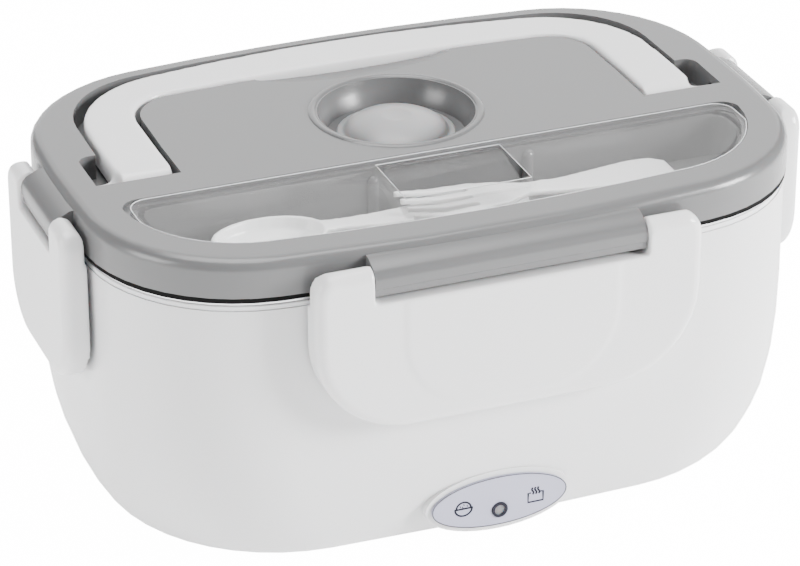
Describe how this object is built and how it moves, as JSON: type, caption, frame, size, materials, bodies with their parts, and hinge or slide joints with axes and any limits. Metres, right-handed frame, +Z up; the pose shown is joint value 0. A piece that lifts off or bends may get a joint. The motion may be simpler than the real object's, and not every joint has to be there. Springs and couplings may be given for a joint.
{
  "type": "electric lunch box",
  "caption": "Heated lunch box with a steel tray, a latched lift-off lid, a folding handle and a covered cutlery bay.",
  "frame": {"origin": "middle of the footprint on the surface that the feet stand on", "axes": "+Z up, X along the box's length, -Y is the front with the indicator plate"},
  "size_m": [0.2454, 0.1702, 0.1076],
  "materials": {
    "white_shell": "gloss",
    "grey_lid": "gloss",
    "liner_plastic": "satin",
    "white_cutlery": "gloss",
    "clear_plastic": "clear",
    "lens_plastic": "clear",
    "lavender_plate": "gloss",
    "dark_plastic": "matte",
    "board": "satin",
    "tray_steel": "brushed",
    "screw_steel": "satin",
    "plate_aluminium": "satin",
    "pin_brass": "satin",
    "foot_rubber": "matte",
    "lead_rubber": "matte",
    "dark_seal": "matte",
    "seal_rubber": "frosted"
  },
  "bodies": {
    "housing": {"outer_housing": "white_shell", "base_cover": "white_shell", "rubber_feet": "foot_rubber", "base_screws": "screw_steel", "inner_liner": "liner_plastic", "heating_plate": "plate_aluminium", "heater_block": "dark_plastic", "heater_clamp": "screw_steel", "clamp_screws": "screw_steel", "thermal_cutout": "dark_plastic", "wiring": "lead_rubber", "indicator_plate": "lavender_plate", "indicator_bezel": "dark_plastic", "indicator_lens": "lens_plastic", "indicator_board": "board", "inlet_socket": "dark_plastic", "inlet_pins": "pin_brass"},
    "food_tray": {"steel_tray": "tray_steel"},
    "cup": {"side_cup": "liner_plastic"},
    "lid": {"lid_shell": "grey_lid", "lid_liner": "liner_plastic", "lid_gasket": "dark_seal"},
    "plug": {"vent_plug": "seal_rubber"},
    "handle": {"carry_handle": "white_shell"},
    "spoon": {"spoon": "white_cutlery"},
    "fork": {"fork": "white_cutlery"},
    "bay_cover": {"cutlery_cover": "clear_plastic"},
    "latch_front": {"front_latch": "white_shell"},
    "latch_right": {"right_latch": "white_shell"},
    "latch_back": {"back_latch": "white_shell"},
    "latch_left": {"left_latch": "white_shell"}
  },
  "joints": [
    {"name": "tray_lift", "type": "slide", "parent": "housing", "child": "food_tray", "axis": [0, 0, 1], "range_m": [0, 0.06]},
    {"name": "cup_lift", "type": "slide", "parent": "food_tray", "child": "cup", "axis": [0, 0, 1], "range_m": [0, 0.06]},
    {"name": "lid_lift", "type": "slide", "parent": "cup", "child": "lid", "axis": [0, 0, 1], "range_m": [0, 0.08]},
    {"name": "plug_pull", "type": "slide", "parent": "lid", "child": "plug", "axis": [0, 0, 1], "range_m": [0, 0.012]},
    {"name": "handle_fold", "type": "hinge", "parent": "lid", "child": "handle", "pos_m": [0, -0.0005, 0.1015], "axis": [1, 0, 0], "range_deg": [0, 92]},
    {"name": "spoon_lift", "type": "slide", "parent": "lid", "child": "spoon", "axis": [0, 0, 1], "range_m": [0, 0.03]},
    {"name": "fork_lift", "type": "slide", "parent": "spoon", "child": "fork", "axis": [0, 0, 1], "range_m": [0, 0.03]},
    {"name": "cover_lift", "type": "slide", "parent": "fork", "child": "bay_cover", "axis": [0, 0, 1], "range_m": [0, 0.03]},
    {"name": "front_latch_swing", "type": "hinge", "parent": "lid", "child": "latch_front", "pos_m": [0, -0.081, 0.1], "axis": [-1, 0, 0], "range_deg": [0, 95]},
    {"name": "right_latch_swing", "type": "hinge", "parent": "lid", "child": "latch_right", "pos_m": [0.119, 0, 0.1], "axis": [0, -1, 0], "range_deg": [0, 95]},
    {"name": "back_latch_swing", "type": "hinge", "parent": "lid", "child": "latch_back", "pos_m": [0, 0.081, 0.1], "axis": [1, 0, 0], "range_deg": [0, 95]},
    {"name": "left_latch_swing", "type": "hinge", "parent": "lid", "child": "latch_left", "pos_m": [-0.119, 0, 0.1], "axis": [0, 1, 0], "range_deg": [0, 95]}
  ]
}
